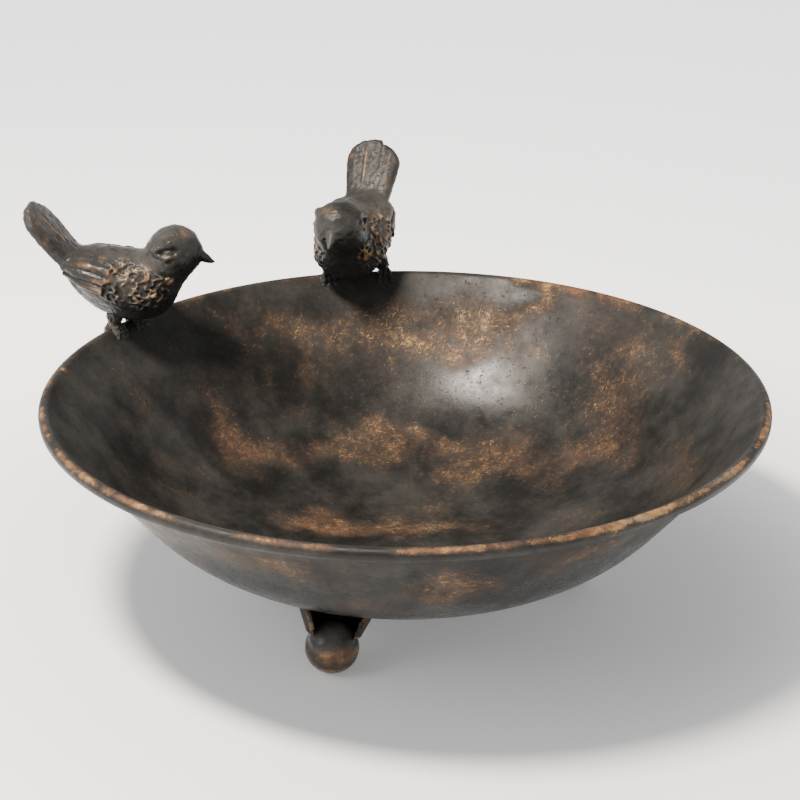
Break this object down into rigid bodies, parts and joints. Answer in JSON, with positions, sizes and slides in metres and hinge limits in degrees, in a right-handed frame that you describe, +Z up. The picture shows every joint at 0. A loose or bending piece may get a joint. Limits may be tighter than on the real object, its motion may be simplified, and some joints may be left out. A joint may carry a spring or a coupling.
{
  "type": "bird bath",
  "caption": "Shallow round pressed-metal bird bath with a rolled rim, standing on ball feet under flared collars, with small cast birds perched on the rim.",
  "frame": {"origin": "on the bowl's axis, at the level of the ground that the feet stand on", "axes": "+Z up along the bowl's axis; -Y towards the viewer; +X to the viewer's right; the birds are at the back and the left"},
  "size_m": [0.3177, 0.3343, 0.1501],
  "materials": {
    "bowl_steel": "aged dark brown-black patina, satin, rubbed through to copper-gold in scratchy patches",
    "wire_steel": "plain drawn wire, hidden",
    "collar_steel": "aged dark brown-black patina, satin",
    "ball_metal": "aged dark brown-black patina, satin, worn to copper-gold",
    "bird_metal": "casting with an aged dark brown-black patina, feathers rubbed to copper-gold",
    "leg_metal": "rough casting, aged dark brown-black patina, toes rubbed to copper-gold"
  },
  "bodies": {
    "root": {"bowl": "bowl_steel", "rim_wire": "wire_steel", "foot_collar_front": "collar_steel", "foot_ball_front": "ball_metal", "foot_collar_right": "collar_steel", "foot_ball_right": "ball_metal", "foot_collar_back": "collar_steel", "foot_ball_back": "ball_metal", "left_bird": "bird_metal", "rear_bird": "bird_metal", "left_bird_leg_left": "leg_metal", "left_bird_leg_right": "leg_metal", "rear_bird_leg_left": "leg_metal", "rear_bird_leg_right": "leg_metal"}
  },
  "joints": []
}
